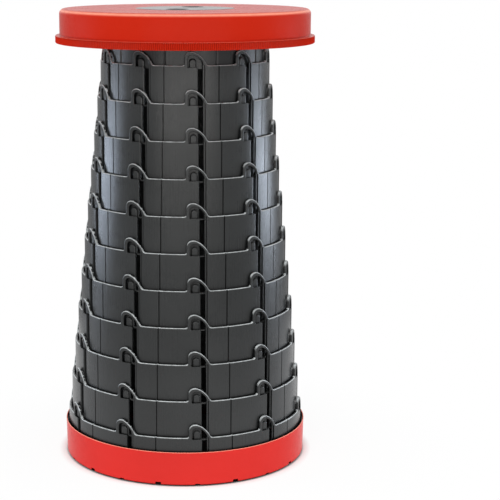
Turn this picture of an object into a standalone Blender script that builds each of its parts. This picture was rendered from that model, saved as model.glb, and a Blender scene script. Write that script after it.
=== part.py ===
"""Telescoping plastic stool: a round seat on twelve nested tiers that slide down into a shallow base."""

import math

import bmesh
import bpy
from mathutils import Matrix, Vector

# Clearance kept between two pieces that touch on the real stool
FIT_GAP = 0.0003

# Points closer than this are one point
WELD = 0.00001

# Column: nested tiers, numbered from 0 under the seat to the outermost one in the base
TIER_COUNT = 12
COLUMN_RADIUS = 0.1171
TIER_WALL = 0.0024
TIER_GAP = 0.00113
TIER_PITCH = 0.0345
TIER_OVERLAP = 0.0036
BASE_TIER_HEIGHT = 0.0437
SEAT_TRAVEL = 0.0297

# Hooks: lopsided arches on a tier's top edge, upright on the left and sloping on the right
HOOK_COUNT = 10
HOOK_ANGLE = math.radians(6.9)
ARCH_LEFT = 0.01045
ARCH_SIDE = 0.0070
ARCH_HEIGHT = 0.0127
CROWN_LEFT = 0.0063
CROWN_RIGHT = 0.0015
KNEE_ACROSS = 0.0039
KNEE_UP = 0.0096
TOE_ACROSS = 0.01045
HOOK_RIM = 0.0032

# Openings under the arches: a pocket on the left, and a locking slot that runs down from its right
POCKET_DROP = 0.0018
SLOT_WIDTH = 0.0040
SLOT_OFFSET = 0.0041
SLOT_BAR = 0.0013

# Lugs: tapered blocks on a tier's outside that sit in the next tier's pockets and run down its inner grooves
LUG_WIDTH = 0.0070
LUG_HEIGHT = 0.0081
LUG_CROWN = 0.0044
LUG_OFFSET = 0.0026
LUG_CLEARANCE = 0.0004
LUG_BITE = 0.00105
LUG_ROOT = 0.0005

# Seat: a cap with a skirt that covers the shut column, and a lip that lands on the base
SKIRT_CLEARANCE = 0.0014
SKIRT_WALL = 0.0024
SEAT_HEIGHT = 0.0322
SEAT_PLATE = 0.0030
SEAT_ROUND = 0.0030
LIP_WIDTH = 0.0041
LIP_HEIGHT = 0.0070
ROUND_STEPS = 32

# Centre disc and the two finger cups that go through it
DISC_RADIUS = 0.0475
DISC_THICKNESS = 0.0013
DISC_RECESS = 0.0014
CUP_RADIUS = 0.0110
CUP_DEPTH = 0.0125
CUP_WALL = 0.0015
CUP_FLOOR_RADIUS = 0.0070
CUP_FLOOR_RISE = 0.0035
CUP_REACH = 0.0286
CUP_TURN = math.radians(-15.0)
CUP_STEPS = 10

# Collar plate inside the top tier, screwed to the seat from below
COLLAR_PLATE = 0.0024
COLLAR_OPENING = 0.0480
COLLAR_SINK = 0.0002
SCREW_COUNT = 4
SCREW_RADIUS = 0.0015
SCREW_HEAD_RADIUS = 0.0034
SCREW_HEAD_HEIGHT = 0.0022
SCREW_BITE = 0.0016
SCREW_STEPS = 6

# Base: an open ring with a floor flange that the outermost tier stands on
BASE_HEIGHT = 0.0335
BASE_WALL = 0.0022
BASE_DRAFT = 0.0007
BASE_ROUND = 0.0016
FLOOR_TOP = 0.0030
FLOOR_WIDTH = 0.0180
RIM_LIFT = 0.0008
NOTCH_TURN = math.radians(16.8)
NOTCH_WIDTH = 0.0055
NOTCH_HEIGHT = 0.0024
NOTCH_DEPTH = 0.0040

# Foot pads, let into the underside of the base
PAD_COUNT = 5
PAD_RADIUS = 0.0060
PAD_THICKNESS = 0.0014
PAD_STEPS = 8

# Values that follow from the ones above
HOOK_STEP = 2 * math.pi / HOOK_COUNT
PANEL_HALF = HOOK_STEP / 4
TIER_STEP = TIER_WALL + TIER_GAP
TIER_HEIGHT = TIER_PITCH + TIER_OVERLAP
SLOT_DROP = TIER_HEIGHT - SLOT_BAR
LUG_LEVEL = FIT_GAP - POCKET_DROP - TIER_PITCH
LUG_LENGTH = TIER_GAP * math.cos(PANEL_HALF) + LUG_BITE
GROOVE_DEPTH = LUG_BITE + FIT_GAP
SKIRT_INNER = COLUMN_RADIUS + SKIRT_CLEARANCE
SKIRT_OUTER = SKIRT_INNER + SKIRT_WALL
LIP_RADIUS = SKIRT_OUTER + LIP_WIDTH
SEAT_BOTTOM = BASE_HEIGHT + FIT_GAP + (TIER_COUNT - 2) * TIER_PITCH + SEAT_TRAVEL
SEAT_TOP = SEAT_BOTTOM + SEAT_HEIGHT
SEAT_UNDERSIDE = SEAT_TOP - SEAT_PLATE
COLLAR_TOP = SEAT_UNDERSIDE - FIT_GAP
BASE_BORE = (COLUMN_RADIUS + FIT_GAP) / math.cos(math.pi / ROUND_STEPS)
BASE_OUTER = BASE_BORE + BASE_WALL
PAD_REACH = BASE_BORE - FLOOR_WIDTH / 2

RED = (0.56, 0.028, 0.016)
GREY = (0.045, 0.048, 0.050)
BLACK = (0.012, 0.012, 0.013)
RUBBER = (0.020, 0.020, 0.020)
STEEL = (0.55, 0.55, 0.56)


def tier_radius(tier):
    return COLUMN_RADIUS - (TIER_COUNT - 1 - tier) * TIER_STEP


def tier_edge(tier):
    return FLOOR_TOP + FIT_GAP + BASE_TIER_HEIGHT + (TIER_COUNT - 1 - tier) * TIER_PITCH


def tier_height(tier):
    return BASE_TIER_HEIGHT if tier == TIER_COUNT - 1 else TIER_HEIGHT


def clear_scene():
    for obj in list(bpy.data.objects):
        bpy.data.objects.remove(obj, do_unlink=True)


def new_collection(name):
    made = bpy.data.collections.new(name)
    bpy.context.scene.collection.children.link(made)
    return made


def plastic(name, colour, roughness, metallic=0.0):
    made = bpy.data.materials.new(name)
    made.use_nodes = True
    shader = made.node_tree.nodes["Principled BSDF"]
    shader.inputs["Base Color"].default_value = (*colour, 1.0)
    shader.inputs["Roughness"].default_value = roughness
    shader.inputs["Metallic"].default_value = metallic
    made.diffuse_color = (*colour, 1.0)
    return made


def add_part(name, mesh, material, location=(0.0, 0.0, 0.0)):
    obj = bpy.data.objects.new(name, mesh)
    obj.location = location
    mesh.materials.clear()
    mesh.materials.append(material)
    parts.objects.link(obj)
    return obj


def add_cutter(name, mesh):
    obj = bpy.data.objects.new(name, mesh)
    obj.hide_render = True
    obj.display_type = "WIRE"
    cutters.objects.link(obj)
    return obj


def mesh_from(name, bm):
    mesh = bpy.data.meshes.new(name)
    bm.to_mesh(mesh)
    bm.free()
    return mesh


def profile_mesh(name, points, closed):
    """A chain of (radius, height) points, for a Screw to turn about Z."""
    bm = bmesh.new()
    chain = [bm.verts.new((radius, 0.0, height)) for radius, height in points]
    for first, second in zip(chain, chain[1:]):
        bm.edges.new((first, second))
    if closed:
        bm.edges.new((chain[-1], chain[0]))
    return mesh_from(name, bm)


def turn(obj, steps):
    screw = obj.modifiers.new("Turn", "SCREW")
    screw.axis = "Z"
    screw.angle = 2 * math.pi
    screw.steps = steps
    screw.render_steps = steps
    screw.use_merge_vertices = True
    screw.merge_threshold = WELD
    screw.use_smooth_shade = False
    return obj


def boolean(obj, operation, other):
    modifier = obj.modifiers.new(f"{operation.title()} {other.name}", "BOOLEAN")
    modifier.operation = operation
    modifier.solver = "EXACT"
    modifier.object = other


def evaluated_mesh(obj):
    graph = bpy.context.evaluated_depsgraph_get()
    return bpy.data.meshes.new_from_object(obj.evaluated_get(graph), depsgraph=graph)


def boxes_mesh(name, boxes):
    """Boxes given as (size, matrix), in one mesh."""
    bm = bmesh.new()
    for size, matrix in boxes:
        bmesh.ops.create_cube(bm, size=1.0, matrix=matrix @ Matrix.Diagonal((*size, 1.0)))
    return mesh_from(name, bm)


def rods_mesh(name, rods, steps):
    """Upright cylinders given as (radius, x, y, low, high), in one mesh."""
    bm = bmesh.new()
    for radius, x, y, low, high in rods:
        bmesh.ops.create_cone(
            bm, cap_ends=True, segments=steps, radius1=radius, radius2=radius, depth=high - low,
            matrix=Matrix.Translation((x, y, (low + high) / 2)),
        )
    return mesh_from(name, bm)


def around(angle, radius):
    """The point at an angle from the front, -Y, towards +X."""
    return radius * math.sin(angle), -radius * math.cos(angle)


def facing(angle):
    return Matrix.Rotation(angle, 4, "Z")


def hook_angles():
    return [HOOK_ANGLE + index * HOOK_STEP for index in range(HOOK_COUNT)]


def arch_chain():
    """The arch's outline in (across, up), from its upright side's foot, over the crown and down its slope."""
    return [
        (-ARCH_LEFT, 0.0), (-ARCH_LEFT, ARCH_SIDE), (-CROWN_LEFT, ARCH_HEIGHT), (-CROWN_RIGHT, ARCH_HEIGHT),
        (KNEE_ACROSS, KNEE_UP), (TOE_ACROSS, 0.0),
    ]


def inset(chain, distance):
    """A chain moved to its right-hand side, with its corners mitred."""
    points = [Vector(point) for point in chain]
    sides = [(second - first).normalized() for first, second in zip(points, points[1:])]
    normals = [Vector((side.y, -side.x)) for side in sides]
    return [
        point + (before + after) * distance / (1 + before.dot(after))
        for point, before, after in zip(points, normals[:1] + normals, normals + normals[-1:])
    ]


def panel_outline(half_width, height, top, hooked):
    """One panel's edge, from its lower left corner and over the arch if it has one."""
    arch = reversed(arch_chain()) if hooked else []
    return [(-half_width, -height), (half_width, -height), (half_width, top), *arch, (-half_width, top)]


def pocket_outline():
    """The opening under the arch, from its slot's bottom, up under the rim and down to the pocket's floor."""
    right, left = SLOT_OFFSET + SLOT_WIDTH / 2, SLOT_OFFSET - SLOT_WIDTH / 2
    rim = inset(arch_chain(), HOOK_RIM)
    knee, toe = rim[-2:]
    slope_end = knee.lerp(toe, (right - knee.x) / (toe.x - knee.x))
    return [
        (right, -SLOT_DROP), slope_end, *reversed(rim[1:-1]),
        (rim[0].x, -POCKET_DROP), (left, -POCKET_DROP), (left, -SLOT_DROP),
    ]


def lug_outline():
    side, crown = LUG_WIDTH / 2, LUG_CROWN / 2
    return [(-side, 0.0), (side, 0.0), (crown, LUG_HEIGHT), (-crown, LUG_HEIGHT)]


def flat_panel(outlines, thickness):
    """Outlines in (across, up) as an upright sheet whose front faces -Y, with its middle on Y = 0."""
    curve = bpy.data.curves.new("panel_outline", "CURVE")
    curve.dimensions = "2D"
    curve.fill_mode = "BOTH"
    curve.extrude = thickness / 2
    for points in outlines:
        spline = curve.splines.new("POLY")
        spline.points.add(len(points) - 1)
        for point, (across, up) in zip(spline.points, points):
            point.co = (across, up, 0.0, 1.0)
        spline.use_cyclic_u = True
    outline = add_cutter("panel_outline", curve)
    mesh = evaluated_mesh(outline)
    bpy.data.objects.remove(outline, do_unlink=True)
    bm = bmesh.new()
    bm.from_mesh(mesh)
    bmesh.ops.remove_doubles(bm, verts=bm.verts, dist=WELD)
    bmesh.ops.rotate(bm, verts=bm.verts, matrix=Matrix.Rotation(math.pi / 2, 3, "X"))
    bmesh.ops.recalc_face_normals(bm, faces=bm.faces)
    bm.to_mesh(mesh)
    bm.free()
    return mesh


def lug_place(radius):
    """The middle of the foot of a lug, on the panel of a tier of this radius."""
    face = radius * math.cos(PANEL_HALF)
    return Matrix.Translation((-LUG_OFFSET, -face + (LUG_ROOT - LUG_LENGTH) / 2, LUG_LEVEL))


def lug_mesh(radius):
    mesh = flat_panel([lug_outline()], LUG_LENGTH + LUG_ROOT)
    mesh.transform(lug_place(radius))
    return mesh


def groove_box(radius, height):
    """The cut behind a pocket's floor, open at the tier's bottom, as (size, matrix)."""
    inner_face = (radius - TIER_WALL) * math.cos(PANEL_HALF)
    low = -height - TIER_WALL
    high = -POCKET_DROP / 2
    middle = (-LUG_OFFSET, -inner_face, (low + high) / 2)
    return (LUG_WIDTH + 2 * LUG_CLEARANCE, 2 * GROOVE_DEPTH, high - low), Matrix.Translation(middle)


def tier_panel(radius, height, top, hooked):
    """The hook panel of a tier with its lug and groove, as one closed mesh facing -Y."""
    half_width = radius * math.sin(PANEL_HALF)
    thickness = TIER_WALL * math.cos(PANEL_HALF)
    openings = [pocket_outline()] if hooked else []
    mesh = flat_panel([panel_outline(half_width, height, top, hooked), *openings], thickness)
    mesh.transform(Matrix.Translation((0.0, thickness / 2 - radius * math.cos(PANEL_HALF), 0.0)))
    panel = add_cutter("panel", mesh)
    tools = [add_cutter("lug", lug_mesh(radius))]
    boolean(panel, "UNION", tools[0])
    if hooked:
        tools.append(add_cutter("groove", boxes_mesh("groove", [groove_box(radius, height)])))
        boolean(panel, "DIFFERENCE", tools[1])
    made = evaluated_mesh(panel)
    for obj in [panel, *tools]:
        bpy.data.objects.remove(obj, do_unlink=True)
    return made


def tier_mesh(name, radius, height, top, hooked):
    """A whole tier: hook panels and the plain walls between them, round a tube of flat sides."""
    end = radius * math.sin(PANEL_HALF) - WELD
    inner = (radius - TIER_WALL) * math.sin(PANEL_HALF)
    face_inside = -(radius - TIER_WALL) * math.cos(PANEL_HALF)
    bm = bmesh.new()
    bm.from_mesh(tier_panel(radius, height, top, hooked))
    ends = [face for face in bm.faces if min(v.co.x for v in face.verts) > end
            or max(v.co.x for v in face.verts) < -end]
    bmesh.ops.delete(bm, geom=ends, context="FACES_ONLY")
    for vert in bm.verts:
        if abs(vert.co.x) > end and abs(vert.co.y - face_inside) < WELD:
            vert.co.x = math.copysign(inner, vert.co.x)
    right = [edge for edge in bm.edges if edge.is_boundary and all(v.co.x > 0 for v in edge.verts)]
    wall = bmesh.ops.extrude_edge_only(bm, edges=right)["geom"]
    moved = [item for item in wall if isinstance(item, bmesh.types.BMVert)]
    bmesh.ops.rotate(bm, verts=moved, matrix=Matrix.Rotation(HOOK_STEP - 2 * PANEL_HALF, 3, "Z"))
    sector = mesh_from("sector", bm)
    bm = bmesh.new()
    for angle in hook_angles():
        copy = sector.copy()
        copy.transform(facing(angle))
        bm.from_mesh(copy)
        bpy.data.meshes.remove(copy)
    bmesh.ops.remove_doubles(bm, verts=bm.verts, dist=WELD)
    bmesh.ops.recalc_face_normals(bm, faces=bm.faces)
    return mesh_from(name, bm)


def screw_places():
    """Midway between the collar plate's opening and its wall."""
    step = 2 * math.pi / SCREW_COUNT
    reach = (COLLAR_OPENING + tier_radius(0) - TIER_WALL) / 2
    return [around(CUP_TURN + step * (index + 0.5), reach) for index in range(SCREW_COUNT)]


def build_tiers(material):
    """The top tier is a plain collar with a plate under the seat, and the rest carry hooks."""
    for tier in range(TIER_COUNT):
        name = f"tier_{tier + 1:02d}"
        radius, edge = tier_radius(tier), tier_edge(tier)
        top = COLLAR_TOP - edge if tier == 0 else 0.0
        mesh = tier_mesh(name, radius, tier_height(tier), top, hooked=tier > 0)
        obj = add_part(name, mesh, material, (0.0, 0.0, edge))
        if tier == 0:
            add_collar_plate(obj, radius)


def add_collar_plate(tier, radius):
    """A ring plate whose rim ends in the tier's wall, past its inner corners and short of its flat sides."""
    high = COLLAR_TOP - COLLAR_SINK
    low = COLLAR_TOP - COLLAR_PLATE
    rim = (radius * math.cos(PANEL_HALF) + (radius - TIER_WALL) / math.cos(math.pi / ROUND_STEPS)) / 2
    ring = [(COLLAR_OPENING, high), (rim, high), (rim, low), (COLLAR_OPENING, low)]
    plate = turn(add_cutter("collar_plate", profile_mesh("collar_plate", ring, closed=True)), ROUND_STEPS)
    boolean(tier, "UNION", plate)
    hole = SCREW_RADIUS + FIT_GAP
    rods = [(hole, x, y, low - COLLAR_PLATE, COLLAR_TOP + COLLAR_PLATE) for x, y in screw_places()]
    boolean(tier, "DIFFERENCE", add_cutter("collar_holes", rods_mesh("collar_holes", rods, SCREW_STEPS)))


def seat_profile():
    """From the centre of the top, down the skirt to the lip, and back under the plate."""
    recess = DISC_RADIUS + FIT_GAP
    corner = [
        (SKIRT_OUTER - SEAT_ROUND * (1 - math.sin(bend)), SEAT_TOP - SEAT_ROUND * (1 - math.cos(bend)))
        for bend in (0.0, math.pi / 4, math.pi / 2)
    ]
    lip_top = SEAT_BOTTOM + LIP_HEIGHT
    return [
        (0.0, SEAT_TOP - DISC_RECESS), (recess, SEAT_TOP - DISC_RECESS), (recess, SEAT_TOP), *corner,
        (SKIRT_OUTER, lip_top), (LIP_RADIUS, lip_top), (LIP_RADIUS, SEAT_BOTTOM),
        (SKIRT_INNER, SEAT_BOTTOM), (SKIRT_INNER, SEAT_UNDERSIDE), (0.0, SEAT_UNDERSIDE),
    ]


def cup_places():
    return [around(CUP_TURN + turned, CUP_REACH) for turned in (0.0, math.pi)]


def cup_cutter(name, grow, top):
    """Both finger cups as solids, made larger by grow all over, for the shell and for its hollow."""
    floor = SEAT_TOP - CUP_DEPTH - grow
    wall_end = floor + CUP_FLOOR_RISE
    bm = bmesh.new()
    for x, y in cup_places():
        for low, high, small, large in (
            (floor, wall_end, CUP_FLOOR_RADIUS + grow, CUP_RADIUS + grow),
            (wall_end, top, CUP_RADIUS + grow, CUP_RADIUS + grow),
        ):
            bmesh.ops.create_cone(
                bm, cap_ends=True, segments=CUP_STEPS, radius1=small, radius2=large, depth=high - low,
                matrix=Matrix.Translation((x, y, (low + high) / 2)),
            )
    inner_caps = [face for face in bm.faces if abs(face.calc_center_median().z - wall_end) < WELD]
    bmesh.ops.delete(bm, geom=inner_caps, context="FACES_ONLY")
    bmesh.ops.remove_doubles(bm, verts=bm.verts, dist=WELD)
    return add_cutter(name, mesh_from(name, bm))


def build_seat(red, black):
    shell = profile_mesh("seat_cap", seat_profile(), closed=False)
    seat = turn(add_part("seat_cap", shell, red), ROUND_STEPS)
    plate_middle = (SEAT_TOP - DISC_RECESS + SEAT_UNDERSIDE) / 2
    boolean(seat, "UNION", cup_cutter("cup_shells", CUP_WALL, plate_middle))
    boolean(seat, "DIFFERENCE", cup_cutter("cup_hollows", 0.0, SEAT_TOP + SEAT_PLATE))
    hole_top = SEAT_UNDERSIDE + SCREW_BITE + FIT_GAP
    rods = [
        (SCREW_RADIUS + FIT_GAP, x, y, SEAT_UNDERSIDE - SEAT_PLATE, hole_top) for x, y in screw_places()
    ]
    boolean(seat, "DIFFERENCE", add_cutter("seat_holes", rods_mesh("seat_holes", rods, SCREW_STEPS)))
    low = SEAT_TOP - DISC_RECESS + FIT_GAP
    high = low + DISC_THICKNESS
    edge = [(0.0, high), (DISC_RADIUS, high), (DISC_RADIUS, low), (0.0, low)]
    disc = turn(add_part("centre_disc", profile_mesh("centre_disc", edge, closed=False), black), ROUND_STEPS)
    rods = [(CUP_RADIUS, x, y, low - DISC_THICKNESS, high + DISC_THICKNESS) for x, y in cup_places()]
    boolean(disc, "DIFFERENCE", add_cutter("disc_holes", rods_mesh("disc_holes", rods, CUP_STEPS)))


def build_seat_screws(steel):
    head_top = COLLAR_TOP - COLLAR_PLATE - FIT_GAP
    tip = SEAT_UNDERSIDE + SCREW_BITE
    outline = [
        (0.0, tip), (SCREW_RADIUS, tip), (SCREW_RADIUS, head_top), (SCREW_HEAD_RADIUS, head_top),
        (SCREW_HEAD_RADIUS, head_top - SCREW_HEAD_HEIGHT), (0.0, head_top - SCREW_HEAD_HEIGHT),
    ]
    for index, (x, y) in enumerate(screw_places()):
        name = f"seat_screw_{index + 1}"
        turn(add_part(name, profile_mesh(name, outline, closed=False), steel, (x, y, 0.0)), SCREW_STEPS)


def pad_places():
    step = 2 * math.pi / PAD_COUNT
    return [around(HOOK_ANGLE + step * index, PAD_REACH) for index in range(PAD_COUNT)]


def base_profile():
    """From the bore's top edge, down the outside, under the floor flange and back up inside it."""
    foot = BASE_OUTER - BASE_DRAFT
    floor_inner = BASE_BORE - FLOOR_WIDTH
    return [
        (BASE_BORE, BASE_HEIGHT), (BASE_OUTER, BASE_HEIGHT), (foot, RIM_LIFT + BASE_ROUND),
        (foot - BASE_ROUND / 2, RIM_LIFT), (floor_inner, RIM_LIFT), (floor_inner, FLOOR_TOP),
        (BASE_BORE, FLOOR_TOP),
    ]


def build_base(red, rubber):
    ring = profile_mesh("base_shell", base_profile(), closed=True)
    base = turn(add_part("base_shell", ring, red), ROUND_STEPS)
    notch = (NOTCH_WIDTH, NOTCH_DEPTH, 2 * NOTCH_HEIGHT)
    notches = [
        (notch, facing(angle + NOTCH_TURN) @ Matrix.Translation((0.0, -BASE_OUTER, RIM_LIFT)))
        for angle in hook_angles()
    ]
    pocket = (LUG_WIDTH + 2 * FIT_GAP, LUG_LENGTH + LUG_ROOT + 2 * FIT_GAP, LUG_HEIGHT + 2 * FIT_GAP)
    lift = Matrix.Translation((0.0, 0.0, tier_edge(TIER_COUNT - 1) + LUG_HEIGHT / 2))
    pockets = [(pocket, facing(angle) @ lift @ lug_place(COLUMN_RADIUS)) for angle in hook_angles()]
    boolean(base, "DIFFERENCE", add_cutter("base_cuts", boxes_mesh("base_cuts", notches + pockets)))
    recess_top = PAD_THICKNESS + FIT_GAP
    rods = [(PAD_RADIUS + FIT_GAP, x, y, -recess_top, recess_top) for x, y in pad_places()]
    boolean(base, "DIFFERENCE", add_cutter("pad_recesses", rods_mesh("pad_recesses", rods, PAD_STEPS)))
    for index, (x, y) in enumerate(pad_places()):
        name = f"foot_pad_{index + 1}"
        pad = rods_mesh(name, [(PAD_RADIUS, 0.0, 0.0, 0.0, PAD_THICKNESS)], PAD_STEPS)
        add_part(name, pad, rubber, (x, y, 0.0))


clear_scene()
parts = new_collection("telescoping_stool")
cutters = new_collection("cutters")
red_plastic = plastic("red_plastic", RED, 0.38)
build_seat(red_plastic, plastic("black_plastic", BLACK, 0.55))
build_seat_screws(plastic("steel", STEEL, 0.35, metallic=1.0))
build_tiers(plastic("grey_plastic", GREY, 0.50))
build_base(red_plastic, plastic("rubber", RUBBER, 0.85))
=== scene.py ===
"""Telescoping stool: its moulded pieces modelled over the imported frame, with finishes, light and camera."""
import math

import bmesh
import bpy
from bpy.props import FloatProperty, FloatVectorProperty, IntProperty, PointerProperty
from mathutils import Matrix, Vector
from mathutils.geometry import interpolate_bezier


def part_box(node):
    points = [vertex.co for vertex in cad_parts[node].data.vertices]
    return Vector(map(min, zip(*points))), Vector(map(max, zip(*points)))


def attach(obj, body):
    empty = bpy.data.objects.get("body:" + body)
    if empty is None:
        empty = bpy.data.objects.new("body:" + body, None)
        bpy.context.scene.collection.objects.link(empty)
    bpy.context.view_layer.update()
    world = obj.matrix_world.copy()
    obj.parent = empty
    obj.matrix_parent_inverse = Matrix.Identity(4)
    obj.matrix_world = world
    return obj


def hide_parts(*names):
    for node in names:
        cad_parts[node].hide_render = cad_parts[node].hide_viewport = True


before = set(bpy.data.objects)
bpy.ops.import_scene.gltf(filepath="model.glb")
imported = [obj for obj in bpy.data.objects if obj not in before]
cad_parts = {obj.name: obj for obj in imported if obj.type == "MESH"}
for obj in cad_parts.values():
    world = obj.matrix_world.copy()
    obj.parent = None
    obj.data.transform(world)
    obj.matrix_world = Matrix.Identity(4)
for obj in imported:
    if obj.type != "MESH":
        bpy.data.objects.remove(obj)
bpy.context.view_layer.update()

bl_info = {
    "name": "Telescoping Stool",
    "version": (1, 0, 0),
    "blender": (4, 5, 0),
    "location": "View3D > Sidebar > Stool",
    "description": "Models a telescoping stool piece by piece over its packed frame",
    "category": "Add Mesh",
}

SEAT_LOW, SEAT_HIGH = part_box("seat_cap")
BASE_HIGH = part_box("base_shell")[1]
TIER_COUNT = sum(name.startswith("tier_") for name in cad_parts)
WELD = 0.00001  # points nearer than this are one
FIT = 0.0003  # clearance between a piece and its seat
FULL_TURN = 2 * math.pi
CENTRE = (0.0, 0.0, 0.0)
UPRIGHT = (0.0, 0.0, 1.0)
CRISP = math.radians(32.0)  # sharper corners keep their edge
PANEL_HALF = 0.020  # half a flat hook panel, before it is fitted to a tier


# ---------------- sizes and colours

def a_length(name, description, default):
    return FloatProperty(name=name, description=description, default=default, unit="LENGTH")


def an_angle(name, description, degrees):
    return FloatProperty(name=name, description=description, default=math.radians(degrees), subtype="ANGLE")


def a_colour(name, description, default):
    return FloatVectorProperty(
        name=name, description=description, default=default, subtype="COLOR", min=0, max=1
    )


class StoolSeatSizes(bpy.types.PropertyGroup):
    """Sizes of the seat, its centre disc and its finger cups."""

    top: a_length("Top", "Height of the seat's top face", SEAT_HIGH[2])
    bottom: a_length("Bottom", "Height of the lip's underside", SEAT_LOW[2])
    lip_radius: a_length("Lip Radius", "Outer radius of the lip", SEAT_HIGH[0])
    lip_height: a_length("Lip Height", "Height of the lip", 0.0070)
    lip_ease: a_length("Lip Ease", "Rounding of the lip's edges", 0.0006)
    skirt_radius: a_length("Skirt Radius", "Outer radius of the skirt", 0.1209)
    skirt_wall: a_length("Skirt Wall", "Thickness of the skirt", 0.0024)
    plate: a_length("Plate", "Thickness of the top", 0.0030)
    corner: a_length("Corner", "Radius of the top's rounded edge", 0.0044)
    ridges: IntProperty(name="Ridges", description="Grip ridges round the lip", default=400, min=12)
    ridge_depth: a_length("Ridge Depth", "Depth of the dips between ridges", 0.00085)
    disc_radius: a_length("Disc Radius", "Radius of the centre disc", 0.0475)
    disc_thickness: a_length("Disc Thickness", "Thickness of the centre disc", 0.0013)
    disc_recess: a_length("Disc Recess", "Depth of the disc's seat", 0.0014)
    cup_radius: a_length("Cup Radius", "Radius of a finger cup", 0.0110)
    cup_depth: a_length("Cup Depth", "Depth of a finger cup", 0.0125)
    cup_belly: a_length("Cup Belly", "Rounding of a finger cup's floor", 0.0058)
    cup_wall: a_length("Cup Wall", "Wall of a finger cup", 0.0015)
    cup_reach: a_length("Cup Reach", "From the seat's middle to a cup's", 0.0286)
    cup_turn: an_angle("Cup Turn", "Angle of the front cup", -15.0)


class StoolColumnSizes(bpy.types.PropertyGroup):
    """Sizes of the nested tiers, their hooks and their lugs, and of the collar."""

    radius: a_length("Radius", "Outer radius of the widest tier", 0.1171)
    wall: a_length("Wall", "Thickness of a tier", 0.0024)
    gap: a_length("Gap", "Running gap between two tiers", 0.00113)
    pitch: a_length("Pitch", "Height from one tier's edge to the next", 0.0345)
    overlap: a_length("Overlap", "How far a tier reaches into the next", 0.0036)
    base_edge: a_length("Base Edge", "Height of the widest tier's edge", 0.0470)
    base_height: a_length("Base Tier", "Height of the widest tier", 0.0437)
    hooks: IntProperty(name="Hooks", description="Hooks on each tier", default=10, min=3)
    hook_turn: an_angle("Hook Turn", "Angle of the first hook", 6.9)
    seam_turn: an_angle("Seam Turn", "Angle from a hook to its seam", 15.5)
    seam_width: a_length("Seam Width", "Width of a seam", 0.0012)
    seam_depth: a_length("Seam Depth", "Depth of a seam", 0.0010)
    slot_width: a_length("Slot Width", "Width of a locking slot", 0.0048)
    slot_offset: a_length("Slot Offset", "From a hook's middle to its slot", 0.0045)
    slot_bar: a_length("Slot Bar", "Material left below a slot", 0.0013)
    pocket_drop: a_length("Pocket Drop", "Pocket floor below the tier's edge", 0.0018)
    rebate_end: a_length("Rebate End", "From a hook's middle to the end of the step beside its slot", 0.0088)
    rebate_depth: a_length("Rebate Depth", "Depth of the step beside a slot", 0.0009)
    line_width: a_length("Line Width", "Width of the fine groove along the step", 0.0008)
    line_depth: a_length("Line Depth", "Depth of the fine groove along the step", 0.0019)
    lug_width: a_length("Lug Width", "Width of a lug", 0.0070)
    lug_height: a_length("Lug Height", "Height of a lug", 0.0081)
    lug_offset: a_length("Lug Offset", "From a hook's middle to its lug", -0.0026)
    lug_bite: a_length("Lug Bite", "How far a lug enters the next tier", 0.00105)
    lug_dome: a_length("Lug Dome", "Rounding of a lug's face", 0.0016)
    bead: a_length("Bead", "Rounding of a tier's outer rims", 0.0009)
    edge: a_length("Edge", "Width of a tier's eased inner edges", 0.0003)
    collar_opening: a_length("Collar Opening", "Inner radius of the collar's plate", 0.0480)
    collar_plate: a_length("Collar Plate", "Thickness of the collar's plate", 0.0024)
    screw_hole: a_length("Screw Hole", "Radius of a screw hole in the collar", 0.0018)


class StoolBaseSizes(bpy.types.PropertyGroup):
    """Sizes of the base ring and its foot pads."""

    top: a_length("Top", "Height of the base", BASE_HIGH[2])
    outer: a_length("Outer Radius", "Outer radius at the top", BASE_HIGH[0])
    bore: a_length("Bore", "Inner radius", 0.1177)
    rebate: a_length("Rebate", "How much wider the bore is at its mouth", 0.0015)
    rebate_depth: a_length("Rebate Depth", "Depth of the wider mouth", 0.0042)
    draft: a_length("Draft", "How much narrower the foot is", 0.0007)
    corner: a_length("Corner", "Rounding of the foot", 0.0016)
    floor_top: a_length("Floor Top", "Height of the floor flange", 0.0030)
    floor_radius: a_length("Floor Radius", "Inner radius of the floor flange", 0.1000)
    lift: a_length("Lift", "Height of the rim above the ground", 0.0008)
    notch_turn: an_angle("Notch Turn", "Angle of the first deep notch", 23.7)
    notch_width: a_length("Notch Width", "Width of a notch", 0.0055)
    notch_height: a_length("Notch Height", "Height of a deep notch", 0.0029)
    pad_radius: a_length("Pad Radius", "Radius of a foot pad", 0.0060)
    pad_thickness: a_length("Pad Thickness", "Thickness of a foot pad", 0.0014)


class StoolColours(bpy.types.PropertyGroup):
    """Colours of the stool's plastics, rubber and steel, and of the ground."""

    seat_red: a_colour("Seat Red", "Seat", (0.485, 0.0180, 0.0056))
    # Painted light: lighter and pinker than the seat's red, standing for the light that the white floor throws
    # on the base.
    base_red: a_colour("Lightened Base Red", "Base", (0.60, 0.0300, 0.0250))
    charcoal: a_colour("Charcoal", "Tiers", (0.0235, 0.0250, 0.0255))
    black: a_colour("Black", "Centre disc", (0.010, 0.009, 0.010))
    rubber: a_colour("Rubber", "Foot pads", (0.022, 0.022, 0.022))
    steel: a_colour("Steel", "Screws", (0.56, 0.56, 0.57))
    ground: a_colour("Ground", "Studio floor", (0.90, 0.90, 0.90))


# ---------------- modelling tools

def done():
    bpy.ops.object.mode_set(mode="OBJECT")


def put_down():
    """Leave edit mode, and deselect everything."""
    if bpy.context.object and bpy.context.object.mode != "OBJECT":
        done()
    bpy.ops.object.select_all(action="DESELECT")


def pick_up(obj):
    """Make this the only selected object."""
    put_down()
    obj.select_set(True)
    bpy.context.view_layer.objects.active = obj


def take_all():
    bpy.ops.mesh.select_all(action="SELECT")


def shape(obj):
    """Go into edit mode with everything selected."""
    pick_up(obj)
    bpy.ops.object.mode_set(mode="EDIT")
    bpy.ops.mesh.select_mode(type="VERT")
    take_all()


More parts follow.
